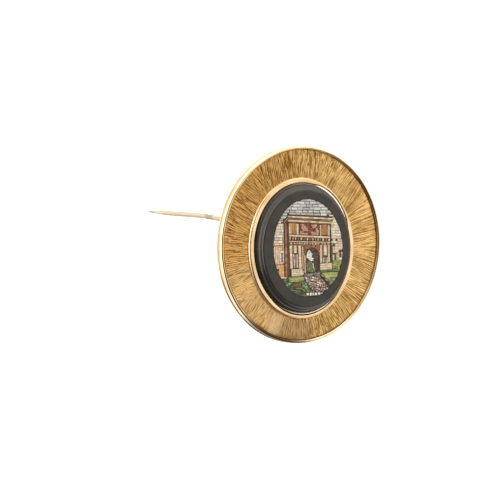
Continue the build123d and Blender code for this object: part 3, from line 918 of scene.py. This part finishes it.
# Whole regions: group, colours, stone length, course, joint, direction in degrees, outline
FIELDS = [
    ("panel", ["ochre"], 0.9, 0.3, 0.02, -90, [(-3.2, 4.2), (-2.05, 4.1), (-2.0, 2.35), (-3.15, 2.4)]),
    ("panel", ["rust"], 0.9, 0.3, 0.02, -90, [(2.4, 3.85), (3.65, 3.8), (3.65, 2.05), (2.4, 2.15)]),
    ("panel", ["red"], 0.34, 0.3, 0.02, -4, [(-1.55, 4.05), (2.0, 3.85), (2.0, 2.1), (-1.55, 2.3)]),
    ("arch", ["cream", "blush"], 0.6, 0.35, 0.04, -2,
     [(-3.05, -3.4), (-0.9, -3.35), (-0.8, -4.45), (-3.0, -4.55)]),
    ("arch", ["cream"], 0.6, 0.35, 0.04, 2, [(2.15, -2.55), (4.3, -2.45), (4.35, -3.5), (2.2, -3.6)]),
    ("arch", ["brown"], 0.4, 0.25, 0.06, -90,
     [(-3.45, 0.75), (4.2, 0.6), (4.2, -2.55), (2.2, -3.8), (-0.7, -4.05), (-3.35, -3.5)]),
    ("house", ["orange", "blush", "tan", "blush"], 0.8, 0.3, 0.04, -90,
     [(-6.85, 0.45), (-4.4, 0.5), (-4.35, -2.55), (-6.85, -2.6)]),
    ("house", ["orange"], 0.5, 0.35, 0.03, 0, [(-6.7, -2.7), (-4.3, -2.65), (-4.05, -4.6), (-5.8, -4.7)]),
    ("house", ["tan", "haze"], 0.6, 0.45, 0.04, 0, [(4.3, 0.7), (6.9, 0.7), (6.9, -1.95), (4.4, -2.05)]),
    ("garden", ["moss"], 0.45, 0.3, 0.06, 4, [(4.4, -2.05), (6.9, -1.95), (6.75, -3.0), (4.4, -3.15)]),
    ("garden", ["leaf", "moss"], 0.45, 0.3, 0.06, 8,
     [(4.35, -3.15), (6.75, -3.0), (6.2, -3.75), (4.35, -3.85)]),
    ("garden", ["lawn"], 0.85, 0.25, 0.06, 3, [(2.45, -4.05), (5.85, -3.95), (5.45, -4.8), (3.0, -4.9)]),
    ("garden", ["sage"], 0.55, 0.25, 0.06, 3, [(3.05, -4.95), (5.45, -4.85), (5.1, -5.55), (3.7, -5.6)]),
    ("garden", ["olive", "moss"], 0.55, 0.3, 0.06, 42, [(3.6, -5.6), (5.2, -5.5), (4.3, -6.7)]),
    ("garden", ["lawn"], 0.85, 0.25, 0.06, -2,
     [(-3.65, -4.75), (-0.75, -4.7), (-0.75, -5.35), (-3.4, -5.45)]),
    ("garden", ["clay"], 0.35, 0.3, 0.06, -20,
     [(-2.3, -5.6), (-1.35, -5.55), (-1.35, -6.3), (-2.25, -6.35)]),
    ("garden", ["teal"], 0.35, 0.3, 0.08, -50, [(-1.3, -5.4), (-0.5, -5.4), (0.45, -6.8), (-1.15, -6.75)]),
    ("garden", ["teal", "slate", "leaf"], 0.4, 0.3, 0.08, -15,
     [(-4.5, -5.6), (-2.3, -5.6), (-2.3, -6.4), (-3.95, -6.45)]),
    ("garden", ["leaf", "slate"], 0.45, 0.3, 0.06, 0,
     [(-5.05, -4.7), (-3.6, -4.7), (-3.4, -5.6), (-4.5, -5.6)]),
    ("path", ["grey"], 0.75, 0.3, 0.06, 3, [(-0.75, -3.95), (2.15, -3.85), (2.3, -4.55), (-0.7, -4.65)]),
    ("path", ["cobble"], 0.42, 0.36, 0.1, -14, [(-0.7, -4.6), (2.3, -4.55), (2.95, -5.5), (-0.4, -5.5)]),
    ("path", ["cobble"], 0.45, 0.4, 0.12, -20, [(-0.4, -5.45), (2.95, -5.45), (3.6, -6.45), (0.45, -6.5)]),
    ("path", ["cobble"], 0.48, 0.42, 0.14, -24, [(0.4, -6.45), (3.6, -6.4), (3.65, -7.25), (0.7, -7.2)]),
    ("path", ["white"], 0.55, 0.55, 0.16, 2, [(-0.45, -7.25), (3.45, -7.15), (3.1, -7.8), (-0.35, -7.8)]),
    ("garden", ["leaf", "pale_olive"], 0.35, 0.25, 0.08, -20,
     [(-1.15, -6.7), (0.55, -6.7), (0.75, -7.2), (-0.7, -7.2)]),
    ("garden", ["olive", "slate"], 0.6, 0.3, 0.06, -8,
     [(-5.05, -6.3), (0.75, -6.3), (0.05, -8.35), (-3.6, -8.35)]),
    ("garden", ["olive"], 0.55, 0.3, 0.06, 30, [(2.55, -4.4), (6.75, -3.1), (4.75, -8.35), (2.2, -8.35)]),
    ("sky", ["haze"], 0.9, 0.45, 0.08, -1, [(-7.25, 4.6), (-4.15, 4.6), (-4.15, 0.45), (-7.25, 0.45)]),
    ("sky", ["haze"], 0.8, 0.45, 0.06, -3, [(3.85, 5.45), (6.9, 5.45), (6.9, 0.65), (3.85, 0.65)]),
    ("sky", ["sky"], 1.1, 0.5, 0.12, -1, [(-7.25, 9.05), (6.9, 9.05), (6.9, 4.45), (-7.25, 4.45)]),
]

# What shows through the arch, given in the same way
THROUGH_THE_ARCH = [
    ("garden", ["white"], 0.45, 0.25, 0.06, -78, [(0.75, -2.45), (0.95, -2.4), (1.2, -3.5), (1.0, -3.55)]),
    ("shade", ["dark"], 0.35, 0.25, 0.06, 0, [(0.7, -1.1), (1.0, -1.1), (1.0, -1.55), (0.7, -1.55)]),
    ("sky", ["white"], 0.45, 0.35, 0.03, -12,
     [(-0.35, -0.15), (0.25, -0.25), (0.9, -1.1), (1.0, -2.0), (0.5, -2.15), (-0.3, -1.5)]),
    ("garden", ["bush"], 0.35, 0.25, 0.06, -12,
     [(-0.35, -1.55), (0.45, -2.15), (0.95, -2.1), (1.3, -3.6), (1.2, -4.05), (-0.35, -4.05)]),
]

# Pale blots on the dark red of the middle panel: x, y, radius
BLOTS = [
    (-1.0, 3.85, 0.3),
    (-0.65, 3.25, 0.45),
    (-0.15, 3.1, 0.25),
    (-1.0, 2.55, 0.4),
    (-0.4, 2.45, 0.25),
    (1.2, 3.7, 0.45),
    (1.6, 3.0, 0.4),
    (1.1, 2.4, 0.45),
    (1.75, 2.4, 0.2),
    (0.2, 3.7, 0.15),
]


def clip(outline, spot, inward, margin):
    """Cuts a convex outline by a line through spot, and keeps what lies a margin inward of it."""
    kept = []
    reach = [(x - spot[0]) * inward[0] + (y - spot[1]) * inward[1] - margin for x, y in outline]
    for place, (x, y) in enumerate(outline):
        last, behind = outline[place - 1], reach[place - 1]
        ahead = reach[place]
        if (behind < 0) != (ahead < 0):
            share = behind / (behind - ahead)
            kept.append((last[0] + (x - last[0]) * share, last[1] + (y - last[1]) * share))
        if ahead >= 0:
            kept.append((x, y))
    return kept


def area_of(outline):
    """Positive for an outline that runs anticlockwise."""
    pairs = zip(outline, outline[1:] + outline[:1])
    return sum(x * next_y - next_x * y for (x, y), (next_x, next_y) in pairs) / 2


def middle_of(outline):
    """The mean place of an outline's corners."""
    return (sum(x for x, _ in outline) / len(outline), sum(y for _, y in outline) / len(outline))


def edges_of(outline):
    """Each edge's start and its inward direction, whichever way round the outline runs."""
    turn = 1 if area_of(outline) > 0 else -1
    found = []
    for (x, y), (next_x, next_y) in zip(outline, outline[1:] + outline[:1]):
        length = hypot(next_x - x, next_y - y)
        if length > 1e-9:
            found.append(((x, y), (-(next_y - y) / length * turn, (next_x - x) / length * turn)))
    return found


def box_of(outline):
    """Left, right, bottom and top."""
    return (min(x for x, _ in outline), max(x for x, _ in outline),
            min(y for _, y in outline), max(y for _, y in outline))


def inside(outline, edges, margin):
    """What is left of an outline a margin inside all the edges."""
    for spot, inward in edges:
        outline = clip(outline, spot, inward, margin)
        if len(outline) < 3:
            return []
    return outline


def outside(outline, cover, margin):
    """What is left of an outline beyond the edge of a cover that it lies farthest past."""
    box, edges = cover
    own = box_of(outline)
    if own[1] < box[0] or own[0] > box[1] or own[3] < box[2] or own[2] > box[3]:
        return outline
    x, y = middle_of(outline)
    past = [((spot[0] - x) * inward[0] + (spot[1] - y) * inward[1], spot, inward)
            for spot, inward in edges]
    _, spot, inward = max(past)
    return clip(outline, spot, (-inward[0], -inward[1]), margin)


def strip_outline(x0, y0, x1, y1, width):
    """The outline of a straight strip of one width."""
    along = Vector((x1 - x0, y1 - y0)).normalized()
    side = Vector((-along.y, along.x)) * (width / 2)
    start, end = Vector((x0, y0)), Vector((x1, y1))
    return [tuple(start - side), tuple(end - side), tuple(end + side), tuple(start + side)]


def arch_spot(radius, turn):
    """A place on a round over the arch's opening."""
    return arch_middle + radius * cos(turn), arch_spring + radius * sin(turn)


def arch_outline(radius, foot):
    """An upright opening under a half round."""
    crown = [arch_spot(radius, pi * step / 12) for step in range(13)]
    return crown + [(arch_middle - radius, foot), (arch_middle + radius, foot)]


def mosaic_oval():
    """The edge of the picture, a joint inside the onyx's hollow."""
    turn = Matrix.Rotation(mosaic_turn, 2)
    wide, high = mosaic_half_width - oval_joint, mosaic_half_height - oval_joint
    angles = [2 * pi * step / 72 for step in range(72)]
    return [tuple(turn @ Vector((wide * cos(angle), high * sin(angle)))) for angle in angles]


class Mosaic:
    """The picture's stones, laid from the front of the scene to the back."""

    def __init__(self):
        self.dice = random.Random(laying_seed)
        self.stones = {}
        self.covers = []
        self.oval = edges_of(mosaic_oval())

    def put(self, group, colour, outline, within, joint):
        """One stone, cut to its region, to the oval and round what stands in front of it."""
        joint *= self.dice.uniform(0.5, 1.4)
        outline = inside(outline, within, joint / 2)
        if outline:
            outline = inside(outline, self.oval, 0)
        for cover in self.covers:
            if len(outline) < 3:
                return
            outline = outside(outline, cover, joint / 2)
        if len(outline) < 3 or abs(area_of(outline)) < smallest_stone:
            return
        base = self.dice.choice(COLOURS[colour])
        light = self.dice.uniform(1 - light_play, 1 + light_play)
        shade = [value * light + self.dice.uniform(-tone_play, tone_play) for value in base]
        shade = [min(255, max(0, value)) for value in shade]
        self.stones.setdefault(group, []).append((outline, tone(*shade)))

    def fill(self, group, colours, length, course, joint, direction, outline, within=()):
        """Brickwork over one convex outline."""
        turn = radians(direction)
        along, across = Vector((cos(turn), sin(turn))), Vector((-sin(turn), cos(turn)))
        middle = Vector(middle_of(outline))
        lengthwise = [(Vector(spot) - middle).dot(along) for spot in outline]
        crosswise = [(Vector(spot) - middle).dot(across) for spot in outline]
        low_s, high_s = min(lengthwise), max(lengthwise)
        low_t, high_t = min(crosswise), max(crosswise)
        rows = max(1, round((high_t - low_t) / course))
        step = (high_t - low_t) / rows
        edges = edges_of(outline) + [edge for other in within for edge in edges_of(other)]
        stray = corner_play + 0.12 * joint
        for row in range(rows):
            s = low_s - length * self.dice.uniform(0.1, 0.9) * (rows > 1)
            t = low_t + row * step
            count = 0
            while s < high_s:
                long = length * self.dice.uniform(1 - length_play, 1 + length_play)
                corners = [(s, t), (s + long, t), (s + long, t + step), (s, t + step)]
                stone = [middle + along * (a + self.dice.uniform(-stray, stray))
                         + across * (b + self.dice.uniform(-stray, stray)) for a, b in corners]
                stone = [tuple(spot) for spot in stone]
                colour = colours[count % len(colours)]
                if colour == "red" and self.on_a_blot(stone):
                    colour = "blot"
                self.put(group, colour, stone, edges_of(stone) + edges, joint)
                s += long
                count += 1
        self.covers.append((box_of(outline), edges_of(outline)))

    def on_a_blot(self, stone):
        """Whether a stone's middle lies on one of the pale blots, which are a little flattened."""
        x, y = middle_of(stone)
        return any(hypot(x - blot_x, (y - blot_y) * 1.1) < radius for blot_x, blot_y, radius in BLOTS)

    def ring(self, group, colour, inner, outer, count, joint):
        """Wedges round the arch, over its opening."""
        for step in range(count):
            start, end = pi * step / count, pi * (step + 1) / count
            wedge = [arch_spot(inner, start), arch_spot(outer, start), arch_spot(outer, end),
                     arch_spot(inner, end)]
            self.put(group, colour, wedge, edges_of(wedge), joint)
        outline = arch_outline(outer, arch_spring)
        self.covers.append((box_of(outline), edges_of(outline)))


def lay_mosaic():
    """All the stones by group: each one's outline and its colour."""
    mosaic = Mosaic()
    opening = arch_outline(vault_radius, arch_foot)
    for field in THROUGH_THE_ARCH:
        mosaic.fill(*field, within=[opening])
    mosaic.fill("shade", ["vault"], length=0.4, course=0.28, joint=0.05, direction=-4, outline=opening)
    mosaic.ring("shade", "maroon", vault_radius, ring_radius, count=13, joint=fine_joint)
    mosaic.ring("arch", "brown", ring_radius, outer_ring_radius, count=17, joint=fine_joint)
    for group, colours, length, x0, y0, x1, y1, width in STRIPS:
        outline = strip_outline(x0, y0, x1, y1, width)
        mosaic.fill(group, colours, length, width, fine_joint, bearing(x1 - x0, y1 - y0), outline)
    for field in FIELDS:
        mosaic.fill(*field)
    return mosaic.stones


def stone_spots(outline, dice):
    """A stone's outline three times: at its foot in the cement, below its bevel and round its
    top, which is sunk and tilted a little."""
    middle_x, middle_y = middle_of(outline)
    top = table_height - dice.uniform(0.0, stone_sink)
    tilt_x, tilt_y = dice.uniform(-stone_tilt, stone_tilt), dice.uniform(-stone_tilt, stone_tilt)
    spots = [(x, y, cement_top - stone_root) for x, y in outline]
    for drop, draw_in in ((stone_bevel, 0.0), (0.0, stone_bevel_in)):
        for x, y in outline:
            out_x, out_y = x - middle_x, y - middle_y
            share = 1 - min(draw_in / hypot(out_x, out_y), most_drawn_in)
            out_x, out_y = out_x * share, out_y * share
            lean = out_x * tilt_x + out_y * tilt_y
            spots.append((middle_x + out_x, middle_y + out_y, top - drop + lean))
    return spots


def stone_mesh(stones, dice):
    """All the stones of one group as one mesh, each face marked with its stone's colour."""
    spots, faces, colours = [], [], []
    for outline, colour in stones:
        outline = outline if area_of(outline) > 0 else outline[::-1]
        count = len(outline)
        foot = len(spots)
        top = foot + 2 * count
        spots += stone_spots(outline, dice)
        for ring in (foot, foot + count):
            for place in range(count):
                a, b = ring + place, ring + (place + 1) % count
                faces.append((a, b, b + count, a + count))
        faces.append(tuple(range(top, top + count)))
        faces.append(tuple(range(foot + count - 1, foot - 1, -1)))
        colours += [colour] * (2 * count + 2)
    mesh = bpy.data.meshes.new("stones")
    mesh.from_pydata(spots, [], faces)
    own = mesh.attributes.new("stone_colour", "FLOAT_COLOR", "FACE")
    own.data.foreach_set("color", np.array(colours, np.float32).ravel())
    piece = bpy.data.objects.new("stones", mesh)
    bpy.context.scene.collection.objects.link(piece)
    return piece


def tesserae():
    """Each colour family's stones as one piece, in place of that family's plain stones."""
    dice = random.Random(levelling_seed)
    for group, stones in lay_mosaic().items():
        piece = stone_mesh(stones, dice)
        finished(piece, group + "_stones", PICTURE, GLASS, "brooch", group + "_glass", smooth=20)
        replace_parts(piece, group + "_tesserae")


# Camera, light and floor

def aim_camera():
    """A long lens at the photograph's angle to the plate."""
    back = Vector((-sin(seen_from_left) * cos(seen_from_above), sin(seen_from_above),
                   cos(seen_from_left) * cos(seen_from_above)))
    up = (Vector((0, 1, 0)) - back * back.y).normalized()
    up = Matrix.Rotation(camera_roll, 3, back) @ up
    right = up.cross(back)
    aside = (photo_width / 2 - plate_at[0]) * mm_per_pixel
    above = (plate_at[1] - photo_width / 2) * mm_per_pixel
    stand = back * camera_distance + right * aside + up * above
    turn = PLATE.to_3x3().normalized() @ Matrix((right, up, back)).transposed()
    data = bpy.data.cameras.new("camera")
    data.lens = data.sensor_width * camera_distance / (photo_width * mm_per_pixel)
    data.clip_start, data.clip_end = 10 * MM, 10000 * MM
    camera = bpy.data.objects.new("camera", data)
    camera.matrix_world = Matrix.Translation(PLATE @ stand) @ turn.to_4x4()
    bpy.context.scene.collection.objects.link(camera)
    bpy.context.scene.camera = camera


def soft_light():
    """A bright tent all round, less so above and below the picture and far to the right,
    with a dark opening overhead where the camera looks in."""
    world = bpy.data.worlds.new("tent")
    bpy.context.scene.world = world
    world.use_nodes = True
    tent = Nodes(world.node_tree)
    opening = [(0.0, 1.0), (0.71, 0.92), (0.78, 0.62), (0.835, 0.36), (0.89, 0.1), (0.935, 0.024),
               (1.0, 0.018)]
    upwards = [(0.0, 0.22), (0.2, 0.27), (0.37, 1.0), (0.62, 1.0), (0.76, 0.65)]
    rightwards = [(0.0, 1.0), (0.87, 1.0), (0.94, 0.4), (1.0, 0.3)]
    light = tent_share(tent, tent_opening, opening)
    light = tent.blend(1.0, light, tent_share(tent, (0, 1, 0), upwards), "MULTIPLY")
    light = tent.blend(1.0, light, tent_share(tent, (1, 0, 0), rightwards), "MULTIPLY")
    background = tent.tree.nodes["Background"]
    tent.feed(background.inputs["Color"], light)
    tent.feed(background.inputs["Strength"], tent_strength)


def tent_share(tent, direction, shares):
    """How bright the tent is from behind a direction (0) to straight along it (1). Where it is
    dimmer it is a little warmer too."""
    place = tent.node("ShaderNodeTexCoord", {}, out="Generated")
    ahead = tent.node("ShaderNodeVectorMath", {"operation": "DOT_PRODUCT"}, place,
                      Vector(direction).normalized(), out="Value")
    stops = [(along, (share, share * (0.94 + 0.06 * share), share * (0.86 + 0.12 * share), 1))
             for along, share in shares]
    return tent.node("ShaderNodeValToRGB", {"stops": stops}, ahead * 0.5 + 0.5)


def pale_floor():
    """The white paper that the brooch lies on."""
    bpy.ops.mesh.primitive_plane_add(size=floor_side * MM, location=(0, 0, cad_box[0][2]))
    floor = bpy.context.object
    floor.name = "floor"
    finish = Finish("pale floor")
    finish.surface(Base_Color=(0.9, 0.9, 0.9, 1), Roughness=0.7, Emission_Color=(1, 1, 1, 1),
                   Emission_Strength=floor_glow)
    floor.data.materials.append(finish.material)


def main():
    """The whole brooch, its light and its camera."""
    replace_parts(gold_body(), "gold_mount")
    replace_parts(gold_band(), "gold_mount")
    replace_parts(gold_bezel(), "gold_mount")
    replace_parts(burnished_lip(), "gold_mount")
    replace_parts(hinge_and_catch(), "gold_mount")
    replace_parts(onyx_stone(), "onyx_plaque")
    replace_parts(cement_bed(), "mosaic_bed")
    tesserae()
    pin_and_rivet()
    aim_camera()
    soft_light()
    pale_floor()
    bpy.context.scene.view_settings.view_transform = "Standard"


main()
